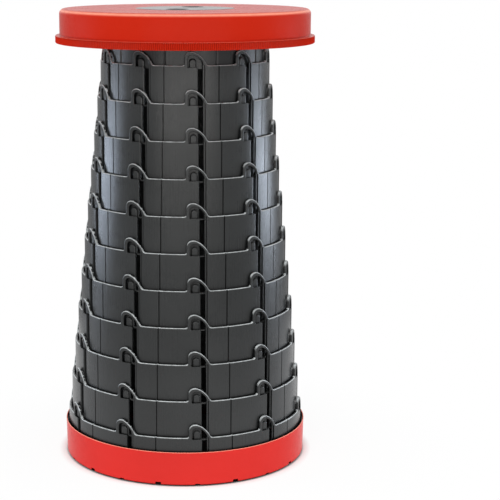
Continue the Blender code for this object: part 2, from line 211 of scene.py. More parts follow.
def pick(obj, kind, test):
    """In edit mode, select only the vertices, edges or faces that pass a test."""
    bpy.ops.mesh.select_mode(type=kind)
    bpy.ops.mesh.select_all(action="DESELECT")
    mesh = bmesh.from_edit_mesh(obj.data)
    found = [part for part in {"VERT": mesh.verts, "EDGE": mesh.edges, "FACE": mesh.faces}[kind] if test(part)]
    if not found:
        raise RuntimeError(f"{obj.name}: nothing to select")
    for part in found:
        part.select_set(True)
    mesh.select_flush_mode()
    bmesh.update_edit_mesh(obj.data)


def slide(across=0.0, back=0.0, up=0.0):
    """In edit mode, move what is selected."""
    bpy.ops.transform.translate(value=(across, back, up))


def round_edges(obj, offset, segments, test):
    """In edit mode, round the edges that pass a test."""
    pick(obj, "EDGE", test)
    bpy.ops.mesh.bevel(offset=offset, segments=segments, affect="EDGES")


def close_mesh():
    """Weld what meets, turn the faces outwards and leave edit mode."""
    take_all()
    bpy.ops.mesh.remove_doubles(threshold=WELD / 2)
    take_all()
    bpy.ops.mesh.normals_make_consistent(inside=False)
    done()


def name_piece(obj, name):
    obj.name = obj.data.name = name
    return obj


def keep_place(obj):
    """Put an object's place and turn into its mesh."""
    pick_up(obj)
    bpy.ops.object.transform_apply(location=True, rotation=True, scale=True)


def set_place(obj, location=CENTRE, turn=0.0):
    obj.location = location
    obj.rotation_euler = (0.0, 0.0, turn)
    keep_place(obj)


def copy_piece(obj, name):
    pick_up(obj)
    bpy.ops.object.duplicate(linked=False)
    return name_piece(bpy.context.object, name)


def draw_line(name, points):
    """A chain of edges through points given as (across, up), in edit mode on the XZ plane."""
    points = [Vector((across, 0.0, up)) for across, up in points]
    put_down()
    bpy.ops.mesh.primitive_plane_add(size=0.001)
    obj = name_piece(bpy.context.object, name)
    shape(obj)
    bpy.ops.mesh.merge(type="CENTER")
    slide(*points[0])
    for here, there in zip(points, points[1:]):
        bpy.ops.mesh.extrude_region_move(TRANSFORM_OT_translate={"value": there - here})
    return obj


def draw_plate(name, points, front, back):
    """A closed outline, filled and pulled into a plate between two depths along Y."""
    obj = draw_line(name, points)
    mesh = bmesh.from_edit_mesh(obj.data)
    ends = {vert.index for vert in mesh.verts if len(vert.link_edges) == 1}
    pick(obj, "VERT", lambda vert: vert.index in ends)
    bpy.ops.mesh.edge_face_add()
    take_all()
    bpy.ops.mesh.edge_face_add()
    slide(back=front)
    bpy.ops.mesh.extrude_region_move(TRANSFORM_OT_translate={"value": (0.0, back - front, 0.0)})
    close_mesh()
    return obj


def draw_turned(name, points, steps):
    """A profile of (radius, height) points, spun once round the Z axis."""
    obj = draw_line(name, points)
    take_all()
    bpy.ops.mesh.spin(steps=steps, angle=FULL_TURN, center=CENTRE, axis=UPRIGHT)
    close_mesh()
    return obj


def draw_disc(name, vertices, radius, depth, location):
    """A short upright cylinder."""
    put_down()
    bpy.ops.mesh.primitive_cylinder_add(vertices=vertices, radius=radius, depth=depth, location=location)
    return name_piece(bpy.context.object, name)


def spread(obj, count, angle):
    """Repeat what a mesh holds round the Z axis, turning by an angle each time."""
    shape(obj)
    bpy.ops.mesh.spin(steps=count - 1, dupli=True, angle=angle * (count - 1), center=CENTRE, axis=UPRIGHT)
    done()


def slice_at(across):
    """In edit mode, cut new edges where a mesh crosses a plane of constant X."""
    take_all()
    bpy.ops.mesh.bisect(plane_co=(across, 0.0, 0.0), plane_no=(1.0, 0.0, 0.0))


def draw_in(obj, test, depth, radius):
    """Move the points of a turned wall that pass a test towards its axis."""
    shape(obj)
    pick(obj, "VERT", test)
    shrink = 1.0 - depth / radius
    bpy.ops.transform.resize(value=(shrink, shrink, 1.0), center_override=CENTRE)
    done()


def apply_modifier(obj, modifier):
    pick_up(obj)
    bpy.ops.object.modifier_apply(modifier=modifier.name)


def cut(obj, tool, operation="DIFFERENCE"):
    """Join or cut a piece with a tool, which is used up."""
    modifier = obj.modifiers.new(f"{operation.title()} {tool.name}", "BOOLEAN")
    modifier.operation = operation
    modifier.solver = "EXACT"
    modifier.object = tool
    before = len(obj.data.vertices)
    apply_modifier(obj, modifier)
    if len(obj.data.vertices) == before:
        raise RuntimeError(f"{tool.name} left no mark on {obj.name}")
    bpy.data.objects.remove(tool, do_unlink=True)


def drill(obj, name, places, vertices, radius, depth, height):
    """Cut a round hole about a height at each place."""
    for index, (x, y) in enumerate(places, start=1):
        cut(obj, draw_disc(f"{name}_{index}", vertices, radius, depth, (x, y, height)))


def smooth(obj):
    """Smooth shading with crisp corners, led by the larger faces."""
    pick_up(obj)
    bpy.ops.object.shade_smooth_by_angle(angle=CRISP)
    weighted = obj.modifiers.new("Larger faces lead", "WEIGHTED_NORMAL")
    weighted.mode = "FACE_AREA"
    weighted.weight = 60
    weighted.keep_sharp = True
    apply_modifier(obj, weighted)


def keep_marks(obj, name, marks):
    obj.data.attributes.new(name, "FLOAT", "POINT").data.foreach_set("value", marks)


def mark_corners(obj, allowed=lambda place: True, lean=0.7, reach=0.6):
    """Mark the points inside a mesh's rounded upper corners in its corner attribute, most where they face up,
    for a painted highlight.
    """
    widest_face, least_bend = 0.0000016, 0.12
    mesh = bmesh.new()
    mesh.from_mesh(obj.data)
    marks = []
    for vert in mesh.verts:
        rounded = all(face.calc_area() < widest_face for face in vert.link_faces) and any(
            edge.is_manifold and edge.calc_face_angle_signed() > least_bend for edge in vert.link_edges
        )
        # Most where the rounding faces up, so the mark places a painted highlight.
        highlit = max(0.0, 1.0 - abs(vert.normal.z - lean) / reach)
        marks.append(highlit if rounded and allowed(vert.co) else 0.0)
    mesh.free()
    keep_marks(obj, "corner", marks)


def finish_piece(obj, body, slot, material, *nodes):
    """Give a piece its finish and its body, and hide the nodes that it stands for."""
    obj.data.materials.clear()
    obj.data.materials.append(material)
    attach(obj, body)
    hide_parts(*nodes)
    put_down()


def node_places(prefix):
    """The middles in plan of the nodes whose names begin with a word, in order."""
    names = sorted(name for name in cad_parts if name.startswith(prefix))
    return [tuple((low + high) / 2 for low, high in list(zip(*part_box(name)))[:2]) for name in names]


def copy_to_nodes(pattern, name, prefix, body, slot, material):
    """Copy a piece to each node whose name begins with a word. The pattern is used up."""
    for index, (x, y) in enumerate(node_places(prefix), start=1):
        copy = copy_piece(pattern, f"{name}_{index}")
        set_place(copy, (x, y, 0.0))
        finish_piece(copy, body, slot, material, f"{prefix}{index}")
    bpy.data.objects.remove(pattern, do_unlink=True)


def around(angle, radius):
    """The point at an angle from the front, -Y, towards +X."""
    return radius * math.sin(angle), -radius * math.cos(angle)


def bend_line(start, lead, trail, end, steps):
    """The points of one drawn curve, after its start."""
    knots = [Vector((*point, 0.0)) for point in (start, lead, trail, end)]
    return [tuple(point.xy) for point in interpolate_bezier(*knots, steps + 1)[1:]]


def round_corner(centre, radius, first, last, steps):
    """Points of an arc about a centre, between two angles in degrees."""
    turns = [math.radians(first + (last - first) * step / steps) for step in range(steps + 1)]
    return [(centre[0] + radius * math.cos(turn), centre[1] + radius * math.sin(turn)) for turn in turns]


# ---------------- finishes

def link(tree, *pairs):
    for out, into in pairs:
        tree.links.new(out, into)


def feed(tree, socket, value):
    """Set a socket to a number, or link another node's output to it."""
    if isinstance(value, (int, float)):
        socket.default_value = value
    else:
        tree.links.new(value, socket)


def add_node(tree, kind, label, **values):
    node = tree.nodes.new(f"ShaderNode{kind}")
    node.label = label
    for key, value in values.items():
        setattr(node, key, value)
    return node


def add_math(tree, label, first, second, operation="MULTIPLY"):
    node = add_node(tree, "Math", label, operation=operation)
    feed(tree, node.inputs[0], first)
    feed(tree, node.inputs[1], second)
    return node.outputs[0]


def add_range(tree, label, *settings):
    """Map a value from low and high to two other ends."""
    node = add_node(tree, "MapRange", label)
    for socket, setting in zip(node.inputs, settings):
        feed(tree, socket, setting)
    return node.outputs[0]


def add_noise(tree, label, vector, scale, detail, roughness=0.5):
    node = add_node(tree, "TexNoise", label)
    for key, value in (("Vector", vector), ("Scale", scale), ("Detail", detail), ("Roughness", roughness)):
        feed(tree, node.inputs[key], value)
    return node.outputs["Fac"]


def piece_coordinates(tree):
    return add_node(tree, "TexCoord", "Piece coordinates").outputs["Object"]


def set_inputs(node, **values):
    """Set sockets by their names, with underscores for spaces."""
    for key, value in values.items():
        node.inputs[key.replace("_", " ")].default_value = value


def add_group(tree, group, **values):
    node = add_node(tree, "Group", group.name, node_tree=group)
    set_inputs(node, **values)
    return node.outputs


def tint(tree, label, colour, tone):
    """A colour made lighter and darker by a tone."""
    node = add_node(tree, "Mix", label, data_type="RGBA", blend_type="MULTIPLY")
    set_inputs(node, Factor=1.0, A=(*colour, 1.0))
    grey = add_node(tree, "CombineColor", f"{label} tone")
    link(tree, *((tone, grey.inputs[channel]) for channel in ("Red", "Green", "Blue")))
    link(tree, (grey.outputs[0], node.inputs["B"]))
    return node.outputs["Result"]


def blend_colour(tree, label, mask, share, first, second):
    """Lay a fixed colour over another, by a share of a mask."""
    node = add_node(tree, "Mix", label, data_type="RGBA")
    amount = add_math(tree, f"{label} share", mask, share)
    link(tree, (amount, node.inputs["Factor"]), (first, node.inputs["A"]))
    set_inputs(node, B=(*second, 1.0))
    return node.outputs["Result"]


def show_white(tree, label, share, plain, white, output):
    """Show a white shader in place of a plain one, by a share."""
    blend = add_node(tree, "MixShader", label)
    link(tree, *zip((share, plain.outputs[0], white.outputs[0]), blend.inputs))
    link(tree, (blend.outputs[0], tree.nodes[output].inputs["Surface"]))


def made_once(store):
    """Make a finish or a node group under its function's name when it is first asked for."""
    def keep(make):
        def fetch():
            made = getattr(bpy.data, store)
            return made[make.__name__] if make.__name__ in made else make(make.__name__)
        return fetch
    return keep


def new_group(name, inputs, outputs):
    tree = bpy.data.node_groups.new(name, "ShaderNodeTree")
    for way, labels in (("INPUT", inputs), ("OUTPUT", outputs)):
        for label in labels:
            tree.interface.new_socket(label, in_out=way, socket_type="NodeSocketFloat")
    return tree, tree.nodes.new("NodeGroupInput").outputs, tree.nodes.new("NodeGroupOutput").inputs


@made_once("node_groups")
def moulded_skin(name):
    """Fine spark-eroded grain of a mould, with slow changes in gloss and tone."""
    tree, given, out = new_group(
        name, ("Grain Scale", "Gloss Low", "Gloss High", "Tone Low", "Tone High"),
        ("Height", "Roughness", "Tone"),
    )
    place = piece_coordinates(tree)
    grain = add_noise(tree, "Mould grain", place, given["Grain Scale"], 2.0, 0.6)
    cloud = add_noise(tree, "Gloss clouds", place, 38.0, 4.0, 0.55)
    flow = add_noise(tree, "Flow marks", place, 9.0, 2.0)
    fine, coarse = add_math(tree, "Grain share", grain, 0.4), add_math(tree, "Cloud share", cloud, 0.6)
    mixed = add_math(tree, "Grain in the gloss", fine, coarse, "ADD")
    link(
        tree,
        (grain, out["Height"]),
        (add_range(tree, "Gloss", mixed, 0.3, 0.7, given["Gloss Low"], given["Gloss High"]), out["Roughness"]),
        (add_range(tree, "Tone", flow, 0.3, 0.7, given["Tone Low"], given["Tone High"]), out["Tone"]),
    )
    return tree


@made_once("node_groups")
def edge_rub(name):
    """Painted highlight on rounded upper corners: a mask from the corner attribute, broken up."""
    tree, given, out = new_group(name, ("Least",), ("Mask",))
    corners = add_node(tree, "Attribute", "Corners", attribute_name="corner").outputs["Fac"]
    patchy = add_noise(tree, "Patchy", piece_coordinates(tree), 240.0, 3.0)
    worn = add_range(tree, "Patches", patchy, 0.35, 0.65, given["Least"], 1.0)
    link(tree, (add_math(tree, "Highlit corners", corners, worn), out["Mask"]))
    return tree


@made_once("node_groups")
def crevice_soil(name):
    """Painted shade in the gaps, darkest where the surfaces nearly meet, and on points marked as inside."""
    tree, given, out = new_group(name, ("Reach", "Darkest", "Clear"), ("Tone",))
    # Painted shade: darker where ambient occlusion finds surfaces close, and darkest on points marked as
    # inside.
    gaps = add_node(tree, "AmbientOcclusion", "Gaps", samples=8)
    link(tree, (given["Reach"], gaps.inputs["Distance"]))
    shaded_inside_marks = add_node(tree, "Attribute", "Settled soil", attribute_name="soil").outputs["Fac"]
    gap_shade = add_range(tree, "Painted shade in gaps", gaps.outputs["AO"], 0.42, given["Clear"], given["Darkest"], 1.0)
    inside_shade = add_range(tree, "Painted shade inside", shaded_inside_marks, 0.0, 1.0, 1.0, 0.03)
    link(tree, (add_math(tree, "Painted shade", gap_shade, inside_shade), out["Tone"]))
    return tree


@made_once("node_groups")
def slide_marks(name):
    """Faint upright streaks that the tiers leave on each other."""
    fineness, length = 520.0, 12.0
    tree, _, out = new_group(name, (), ("Mask",))
    split = add_node(tree, "SeparateXYZ", "Split")
    join = add_node(tree, "CombineXYZ", "Stretch upright")
    link(tree, (piece_coordinates(tree), split.inputs[0]))
    for axis, size in (("X", fineness), ("Y", fineness), ("Z", length)):
        stretched = add_math(tree, f"Stretch {axis}", split.outputs[axis], size)
        link(tree, (stretched, join.inputs[axis]))
    streak = add_noise(tree, "Streaks", join.outputs[0], 1.0, 3.0, 0.6)
    link(tree, (add_range(tree, "Streak mask", streak, 0.45, 0.75, 0.0, 1.0), out["Mask"]))
    return tree


def new_material(name):
    material = bpy.data.materials.new(name)
    material.use_nodes = True
    return material, material.node_tree, material.node_tree.nodes["Principled BSDF"]


def start_finish(name, grain, gloss, tone, bump, specular=0.5):
    """A new material with a mould's grain in its surface, and what that grain gives for its gloss and tone."""
    material, tree, shader = new_material(name)
    set_inputs(shader, Specular_IOR_Level=specular)
    skin = add_group(
        tree, moulded_skin(), Grain_Scale=grain, Gloss_Low=gloss[0], Gloss_High=gloss[1],
        Tone_Low=tone[0], Tone_High=tone[1],
    )
    raised = add_node(tree, "Bump", "Grain")
    set_inputs(raised, Strength=bump[0], Distance=bump[1])
    link(tree, (skin["Height"], raised.inputs["Height"]), (raised.outputs[0], shader.inputs["Normal"]))
    return material, tree, shader, skin


def paint(tree, shader, colour, gloss):
    link(tree, (colour, shader.inputs["Base Color"]), (gloss, shader.inputs["Roughness"]))


def red_plastic(name, colour):
    """Satin red plastic, paler on its rounded upper edges as a painted highlight, with painted shade in its
    gaps.
    """
    material, tree, shader, skin = start_finish(name, 2400.0, (0.24, 0.32), (0.95, 1.05), (0.10, 0.0004), 0.05)
    edge_highlight = add_group(tree, edge_rub(), Least=0.85)
    # Painted shade in the gaps and inside the base.
    soil = add_group(tree, crevice_soil(), Reach=0.003, Darkest=0.35, Clear=0.85)
    base = tint(tree, "Red", colour, add_math(tree, "Painted shade tone", skin["Tone"], soil["Tone"]))
    pale = [min(1.0, part * 1.3 + lift) for part, lift in zip(colour, (0.42, 0.38, 0.27))]
    # Pale red on the upward rounded corners is a painted highlight.
    paint(tree, shader, blend_colour(tree, "Painted red highlight", edge_highlight["Mask"], 0.9, base, pale), skin["Roughness"])
    return material


@made_once("materials")
def charcoal_plastic(name):
    """Satin charcoal plastic with slide marks, painted shade in its gaps and a painted highlight on its rounded
    upper edges.
    """
    colour = bpy.context.scene.stool_colours.charcoal
    material, tree, shader, skin = start_finish(name, 3000.0, (0.25, 0.33), (0.80, 1.20), (0.12, 0.0004), 0.35)
    edge_highlight = add_group(tree, edge_rub(), Least=0.6)
    marks = add_group(tree, slide_marks())
    # Painted shade in the gaps between tiers, in the pockets and in the slots.
    soil = add_group(tree, crevice_soil(), Reach=0.006, Darkest=0.06, Clear=0.90)
    tone = add_math(tree, "Painted shade tone", skin["Tone"], soil["Tone"])
    base = tint(tree, "Charcoal", colour, tone)
    streaked = blend_colour(tree, "Slide marks", marks["Mask"], 0.10, base, [part * 1.8 for part in colour])
    # Near-white charcoal on the upward rounded rims is a painted highlight.
    highlit = blend_colour(tree, "Painted edge highlight", edge_highlight["Mask"], 0.9, streaked, [part * 30.0 for part in colour])
    polish = add_math(tree, "Polish", marks["Mask"], 0.03)
    paint(tree, shader, highlit, add_math(tree, "Polished marks", skin["Roughness"], polish, "SUBTRACT"))
    return material


@made_once("materials")
def matt_black_plastic(name):
    """Fine black plastic of the centre disc."""
    colour = bpy.context.scene.stool_colours.black
    material, tree, shader, skin = start_finish(name, 1700.0, (0.16, 0.24), (0.85, 1.15), (0.10, 0.0004), 0.22)
    edge_highlight = add_group(tree, edge_rub(), Least=0.3)
    base = tint(tree, "Black", colour, skin["Tone"])
    # Paler black on the upward rounded edges is a painted highlight.
    highlit = blend_colour(tree, "Painted black highlight", edge_highlight["Mask"], 0.5, base, [part * 2.5 for part in colour])
    paint(tree, shader, highlit, skin["Roughness"])
    return material


@made_once("materials")
def pad_rubber(name):
    """Dull rubber, a little dusty."""
    material, tree, shader, skin = start_finish(name, 1400.0, (0.78, 0.92), (0.80, 1.25), (0.30, 0.0006))
    colour = tint(tree, "Rubber", bpy.context.scene.stool_colours.rubber, skin["Tone"])
    paint(tree, shader, colour, skin["Roughness"])
    return material


@made_once("materials")
def plated_steel(name):
    """Bright plated screw steel with fine marks."""
    material, tree, shader, skin = start_finish(name, 1800.0, (0.26, 0.42), (0.85, 1.10), (0.08, 0.0003))
    colour = tint(tree, "Steel", bpy.context.scene.stool_colours.steel, skin["Tone"])
    paint(tree, shader, colour, skin["Roughness"])
    set_inputs(shader, Metallic=1.0)
    return material


# ---------------- seat

def cup_places(seat):
    return [around(seat.cup_turn + half, seat.cup_reach) for half in (0.0, math.pi)]


def cup_solid(name, seat, grow, top):
    """A finger cup as a solid, made larger by grow, with a rounded floor."""
    radius = seat.cup_radius + grow
    floor = seat.top - seat.cup_depth - grow
    belly = seat.cup_belly + grow
    return draw_turned(name, [
        (0.0, floor), *round_corner((radius - belly, floor + belly), belly, -90.0, 0.0, 8),
        (radius, top), (0.0, top),
    ], 48)


class STOOL_OT_seat(bpy.types.Operator):
    """Model the red seat: a round cap with a skirt, a ridged lip, a seat for the disc and two finger cups"""

    bl_idname = "stool.seat"
    bl_label = "Seat"

    def execute(self, context):
        seat = context.scene.stool_seat
        lip_top = seat.bottom + seat.lip_height
        floor = seat.top - seat.disc_recess
        obj = self.turn_cap(seat, lip_top, floor)
        for index, (x, y) in enumerate(cup_places(seat), start=1):
            shell = cup_solid(f"cup_shell_{index}", seat, seat.cup_wall, floor - 0.0006)
            set_place(shell, (x, y, 0.0))
            cut(obj, shell, "UNION")
            hollow = cup_solid(f"cup_hollow_{index}", seat, 0.0, seat.top + 0.003)
            set_place(hollow, (x, y, 0.0))
            cut(obj, hollow)
        smooth(obj)

        def on_an_edge(place):
            on_lip = place.z > lip_top - 0.0008 and place.xy.length > seat.lip_radius - 0.0009
            return place.z > seat.top - seat.corner or on_lip

        mark_corners(obj, on_an_edge, 0.66, 0.36)
        finish = red_plastic("seat_red_plastic", context.scene.stool_colours.seat_red)
        finish_piece(obj, "seat", "red_plastic", finish, "seat_cap")
        return {"FINISHED"}

    def turn_cap(self, seat, lip_top, floor):
        """The cap's outline spun round, with every other step of its lip drawn in."""
        under = seat.top - seat.plate
        inner = seat.skirt_radius - seat.skirt_wall
        recess = seat.disc_radius + FIT
        shoulder = seat.skirt_radius - seat.corner
        ease, fillet, under_fillet, chamfer = seat.lip_ease, 0.0007, 0.0015, 0.0004
        steps = 2 * seat.ridges
        obj = draw_turned("seat_moulding", [
            (0.0, floor), (recess - 0.004, floor), (recess, floor),
            (recess, seat.top - FIT), (recess + FIT, seat.top), (recess + 0.003, seat.top),
            *round_corner((shoulder, seat.top - seat.corner), seat.corner, 90.0, 0.0, 8),
            (seat.skirt_radius, lip_top + 0.004),
            *round_corner((seat.skirt_radius + fillet, lip_top + fillet), fillet, 180.0, 270.0, 3),
            (seat.lip_radius - fillet, lip_top),
            *round_corner((seat.lip_radius - ease, lip_top - ease), ease, 60.0, 0.0, 2),
            (seat.lip_radius, seat.bottom + ease), (seat.lip_radius - ease, seat.bottom),
            (inner + chamfer, seat.bottom), (inner, seat.bottom + chamfer),
            *round_corner((inner - under_fillet, under - under_fillet), under_fillet, 0.0, 90.0, 4),
            (recess, under), (0.0, under),
        ], steps)
        low, high = seat.bottom + ease / 2, lip_top - 0.0005

        def in_a_dip(vert):
            step = round(math.atan2(vert.co.y, vert.co.x) / (FULL_TURN / steps))
            return step % 2 == 1 and low < vert.co.z < high and vert.co.xy.length > seat.lip_radius - 0.0002

        draw_in(obj, in_a_dip, seat.ridge_depth, seat.lip_radius)
        return obj


class STOOL_OT_disc(bpy.types.Operator):
    """Model the black disc let into the seat, with its two finger holes"""

    bl_idname = "stool.disc"
    bl_label = "Centre Disc"

    def execute(self, context):
        seat = context.scene.stool_seat
        low = seat.top - seat.disc_recess + FIT
        high = low + seat.disc_thickness
        obj = draw_disc(
            "centre_disc_inlay", 128, seat.disc_radius, seat.disc_thickness, (0.0, 0.0, (low + high) / 2)
        )
        keep_place(obj)
        drill(obj, "finger_hole", cup_places(seat), 48, seat.cup_radius, 0.01, high)
        shape(obj)
        round_edges(obj, 0.0003, 2, lambda edge: len(edge.link_faces) == 2 and edge.calc_face_angle() > 1.0
                    and min(vert.co.z for vert in edge.verts) > high - WELD)
        close_mesh()
        smooth(obj)
        mark_corners(obj)
        finish_piece(obj, "seat", "black_plastic", matt_black_plastic(), "centre_disc")
        return {"FINISHED"}


# ---------------- column

def tier_radius(column, number):
    return column.radius - (TIER_COUNT - number) * (column.wall + column.gap)


def tier_edge(column, number):
    return column.base_edge + (TIER_COUNT - number) * column.pitch


def arch_outline():
    """A hook's outer edge in (across, up), from its toe over the crown to its upright side's foot."""
    toe, knee, crown, side = (0.0124, 0.0), (0.0096, 0.0021), (-0.0042, 0.0127), -0.01045
    return [
        toe,
        *bend_line(toe, (0.0109, 0.0), (0.0102, 0.0008), knee, 5),
        *bend_line(knee, (0.0076, 0.0062), (0.0012, 0.0127), crown, 12),
        *bend_line(crown, (-0.0078, 0.0127), (side, 0.0104), (side, 0.0066), 8),
        *bend_line((side, 0.0018), (side, 0.0008), (-0.01125, 0.0), (-0.01225, 0.0), 4),
    ]


def opening_outline(column):
    """A hook's opening, from its slot's bottom, up under the rim, round the pocket and down the slot."""
    right = column.slot_offset + column.slot_width / 2
    left = column.slot_offset - column.slot_width / 2
    bottom = column.slot_bar - column.pitch - column.overlap
    floor = -column.pocket_drop
    crown, side, ease, round_floor = (-0.0036, 0.0093), -0.00735, 0.0006, 0.0008
    return [
        (right - ease, bottom), (right, bottom + ease), (right, 0.0012),
        *bend_line((right, 0.0012), (right - 0.0005, 0.0046), (0.0015, 0.0093), crown, 12),
        *bend_line(crown, (-0.0059, 0.0093), (side, 0.0074), (side, 0.0052), 7),
        *round_corner((side + round_floor, floor + round_floor), round_floor, 180.0, 270.0, 4),
        (left - round_floor, floor), (left, floor - round_floor), (left, bottom + ease), (left + ease, bottom),
    ]


def model_hook_panel(column):
    """One flat hook panel with its opening, the step beside its slot and the groove behind its pocket."""
    low = -column.pitch - column.overlap
    half, middle, step_end, step_top = PANEL_HALF, column.slot_offset, column.rebate_end, 0.0005
    panel = draw_plate("hook_panel", [
        (-half, low), (half, low), (half, 0.0), *arch_outline(), (-half, 0.0),
    ], 0.0, column.wall)
    cut(panel, draw_plate("hook_opening", opening_outline(column), -0.005, 0.008))
    for name, left, depth in (
        ("slot_rebate", middle, column.rebate_depth),
        ("rebate_groove", step_end - column.line_width, column.line_depth),
    ):
        cut(panel, draw_plate(name, [
            (left, low + 0.0024), (step_end, low + 0.0024), (step_end, -0.0002), (step_end - 0.0005, step_top),
            (left, step_top),
        ], -0.005, depth))
    side, groove_top = column.lug_width / 2 + 0.0004, -column.pocket_drop / 2
    cut(panel, draw_plate("lug_groove", [(column.lug_offset + across, up) for across, up in (
        (-side, low - 0.002), (side, low - 0.002), (side, groove_top), (-side, groove_top),
    )], column.wall - column.lug_bite - FIT, column.wall + 0.005))

    def is_rim(edge):
        at_end = all(abs(vert.co.x) > half - WELD for vert in edge.verts)
        return len(edge.link_faces) == 2 and edge.calc_face_angle() > 0.8 and not at_end

    def on_pocket_floor(edge):
        return all(abs(vert.co.z + column.pocket_drop) < WELD for vert in edge.verts)

    def on_step(edge):
        first = middle + column.slot_width / 2 - WELD
        return all(
            first < vert.co.x < step_end + WELD and low + WELD < vert.co.z < step_top + WELD
            for vert in edge.verts
        )

    shape(panel)
    round_edges(panel, column.bead, 4, lambda edge: is_rim(edge) and not on_pocket_floor(edge)
                and not on_step(edge) and max(vert.co.y for vert in edge.verts) < WELD)
    round_edges(panel, column.edge, 1, lambda edge: is_rim(edge)
                and min(vert.co.y for vert in edge.verts) > column.wall - WELD)
    close_mesh()
    return panel


def model_lug(column):
    """One lug: an upright block with a round top and a domed face."""
    side = column.lug_width / 2
    level = 0.0001 - column.pocket_drop - column.pitch
    crown = level + column.lug_height
    spring, swell, lead = crown - side, crown - side * 0.45, side * 0.55
    points = [
        (-side, level), (side, level), (side, spring),
        *bend_line((side, spring), (side, swell), (lead, crown), (0.0, crown), 6),
        *bend_line((0.0, crown), (-lead, crown), (-side, swell), (-side, spring), 6),
    ]
    front = -column.gap - column.lug_bite / 2
    lug = draw_plate("lug", [(across + column.lug_offset, up) for across, up in points[:-1]], front, 0.0006)
    shape(lug)
    round_edges(lug, column.lug_dome, 5, lambda edge: max(vert.co.y for vert in edge.verts) < front + WELD
                and max(vert.co.z for vert in edge.verts) > level + WELD)
    close_mesh()
    return lug


class STOOL_OT_tiers(bpy.types.Operator):
    """Model one hook panel, then bend and repeat it into each tier of the column"""

    bl_idname = "stool.tiers"
    bl_label = "Hooked Tiers"

    def execute(self, context):
        column = context.scene.stool_column
        plain = model_hook_panel(column)
        lugged = copy_piece(plain, "lugged_panel")
        cut(lugged, model_lug(column), "UNION")
        for number in range(2, TIER_COUNT + 1):
            self.model_tier(column, number, plain if number == TIER_COUNT else lugged)
        for used in (plain, lugged):
            bpy.data.objects.remove(used, do_unlink=True)
        return {"FINISHED"}

    def model_tier(self, column, number, panel):
        name = f"tier_{number:02d}"
        radius, edge = tier_radius(column, number), tier_edge(column, number)
        step = FULL_TURN / column.hooks
        obj = copy_piece(panel, f"hooked_{name}")
        self.fit_panel(obj, column, radius, radius * step / 2, number == TIER_COUNT)
        bend = obj.modifiers.new("Bend round the column", "SIMPLE_DEFORM")
        bend.deform_method = "BEND"
        bend.deform_axis = "Z"
        bend.angle = step
        apply_modifier(obj, bend)
        set_place(obj, (0.0, -radius, edge))
        set_place(obj, turn=column.hook_turn)
        mark_corners(obj, lambda place: place.z > edge - 0.001)
        spread(obj, column.hooks, step)
        shape(obj)
        close_mesh()
        smooth(obj)
        body = "base" if number == TIER_COUNT else f"stage_{number:02d}"
        finish_piece(obj, body, "grey_plastic", charcoal_plastic(), name)

    def fit_panel(self, obj, column, radius, half, lowest):
        """Fit a flat panel to its tier's width, press in its seam and slice it upright, so that it can bend."""
        shape(obj)
        for way in (1.0, -1.0):
            pick(obj, "VERT", lambda vert: vert.co.x * way > PANEL_HALF - WELD)
            slide(across=way * (half - PANEL_HALF))
        if lowest:
            low = -column.pitch - column.overlap
            pick(obj, "VERT", lambda vert: vert.co.z < low + column.bead + WELD)
            slide(up=-low - column.base_height)
        self.press_seam(obj, radius * column.seam_turn, column)
        slices = 36
        for index in range(1, slices):
            slice_at(half * (2 * index / slices - 1))
        limit = half - WELD
        pick(obj, "FACE", lambda face: all(vert.co.x > limit for vert in face.verts)
             or all(vert.co.x < -limit for vert in face.verts))
        bpy.ops.mesh.delete(type="ONLY_FACE")
        done()

    def press_seam(self, obj, middle, column):
        """Press a seam into a flat panel's outer face, over its top edge."""
        half = column.seam_width / 2
        for across in (-half, -half * 0.45, half * 0.45, half):
            slice_at(middle + across)
        outer = column.bead + WELD
        pick(obj, "VERT", lambda vert: abs(vert.co.x - middle) < half * 0.7 and vert.co.y < outer)
        slide(back=column.seam_depth)


class STOOL_OT_collar(bpy.types.Operator):
    """Model the top tier: a plain collar with seams and lugs, and the ring plate that the seat is screwed to"""

    bl_idname = "stool.collar"
    bl_label = "Collar"

    def execute(self, context):
        column, seat = context.scene.stool_column, context.scene.stool_seat
        radius, edge = tier_radius(column, 1), tier_edge(column, 1)
        low = edge - column.pitch - column.overlap
        high = seat.top - seat.plate - FIT
        plate_low = high - column.collar_plate
        inner = radius - column.wall
        ease, opening = column.edge, column.collar_opening
        steps = 360
        obj = draw_turned("collar_tier", [
            (opening, high - 0.0002), (opening + ease, high), (radius - ease, high), (radius, high - ease),
            (radius, high - 0.003), (radius, low + ease), (radius - ease, low), (inner + ease, low),
            (inner, low + ease), (inner, plate_low - 0.001), (inner - 0.001, plate_low),
            (opening + ease, plate_low), (opening, plate_low + ease), (opening, high - 0.0002),
        ], steps)
        step = FULL_TURN / column.hooks
        seams = [column.hook_turn + column.seam_turn + step * index for index in range(column.hooks)]

        def in_a_seam(vert):
            turn = math.atan2(vert.co.x, -vert.co.y)
            near = min(abs(math.remainder(turn - seam, FULL_TURN)) for seam in seams)
            return near < FULL_TURN / steps * 0.55 and vert.co.xy.length > radius - 0.0001

        draw_in(obj, in_a_seam, column.seam_depth, radius)
        lug = model_lug(column)
        set_place(lug, (0.0, -radius, edge))
        set_place(lug, turn=column.hook_turn)
        spread(lug, column.hooks, step)
        cut(obj, lug, "UNION")
        drill(obj, "screw_hole", node_places("seat_screw_"), 24, column.screw_hole, 0.012, high)
        smooth(obj)
        finish_piece(obj, "seat", "grey_plastic", charcoal_plastic(), "tier_01")
        return {"FINISHED"}


